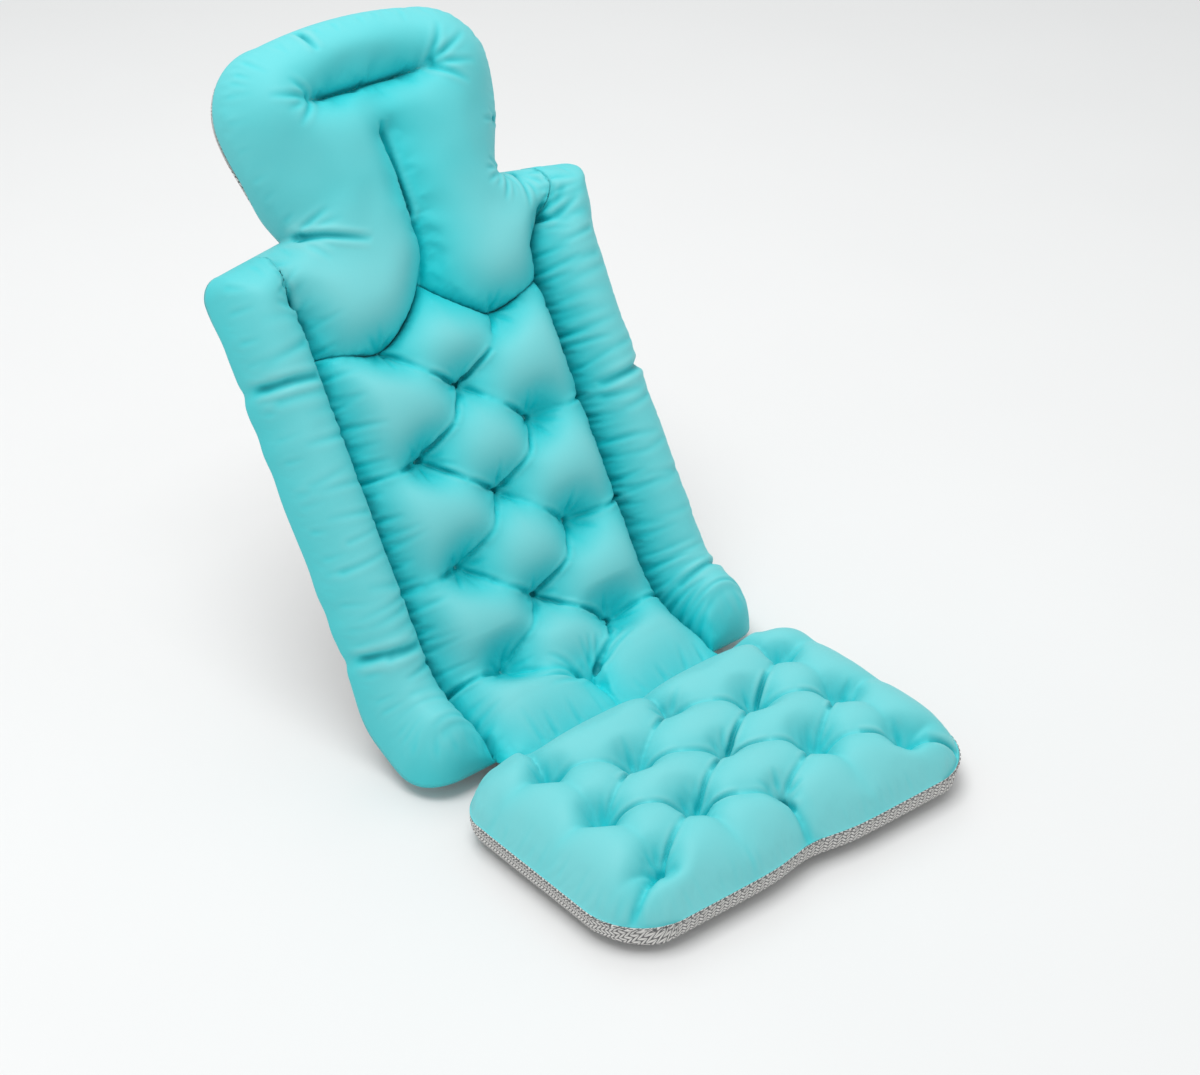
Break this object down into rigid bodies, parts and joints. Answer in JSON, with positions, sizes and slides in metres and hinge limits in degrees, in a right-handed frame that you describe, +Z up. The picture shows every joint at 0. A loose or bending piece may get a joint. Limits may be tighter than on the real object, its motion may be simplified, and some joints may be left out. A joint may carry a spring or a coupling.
{
  "type": "full-body bath mat",
  "caption": "Quilted full-body bath mat with a tufted seat pad, a tufted back pad with side bolsters, a head pillow, a mesh backing and suction cups.",
  "frame": {"origin": "on the bath floor under the middle of the crease seam between seat and back", "axes": "+Z up, +Y towards the head end, X across the mat; the seat points to -Y"},
  "size_m": [0.4, 0.6918, 0.5594],
  "materials": {
    "cover_fabric": "smooth brushed polyester, soft sheen",
    "fibre_filling": "hollow polyester fibre",
    "mesh_backing": "knitted spacer mesh",
    "clear_cup": "clear soft vinyl"
  },
  "bodies": {
    "seat": {"seat_cover": "cover_fabric", "seat_filling": "fibre_filling", "seat_backing": "mesh_backing", "seat_cup_rear_left": "clear_cup", "seat_cup_rear_right": "clear_cup", "seat_cup_front_left": "clear_cup", "seat_cup_front_right": "clear_cup"},
    "lumbar": {"lumbar_cover": "cover_fabric", "lumbar_filling": "fibre_filling", "left_bolster_foot_cover": "cover_fabric", "left_bolster_foot_filling": "fibre_filling", "right_bolster_foot_cover": "cover_fabric", "right_bolster_foot_filling": "fibre_filling", "lumbar_backing": "mesh_backing"},
    "back": {"back_cover": "cover_fabric", "back_filling": "fibre_filling", "left_bolster_cover": "cover_fabric", "left_bolster_filling": "fibre_filling", "right_bolster_cover": "cover_fabric", "right_bolster_filling": "fibre_filling", "back_backing": "mesh_backing", "back_cup_lower_left": "clear_cup", "back_cup_lower_right": "clear_cup", "back_cup_upper_left": "clear_cup", "back_cup_upper_right": "clear_cup"},
    "head": {"head_cover": "cover_fabric", "head_filling": "fibre_filling", "head_backing": "mesh_backing", "head_cup_left": "clear_cup", "head_cup_right": "clear_cup"}
  },
  "joints": [
    {"name": "crease_fold", "type": "hinge", "parent": "seat", "child": "lumbar", "pos_m": [0, 0, 0.028], "axis": [1, 0, 0], "range_deg": [0, 65]},
    {"name": "lumbar_fold", "type": "hinge", "parent": "lumbar", "child": "back", "pos_m": [0, 0.10707, 0.02798], "axis": [1, 0, 0], "range_deg": [-57.5, 0]},
    {"name": "neck_fold", "type": "hinge", "parent": "back", "child": "head", "pos_m": [0, 0.35839, 0.39854], "axis": [1, 0, 0], "range_deg": [-60, 0]}
  ]
}
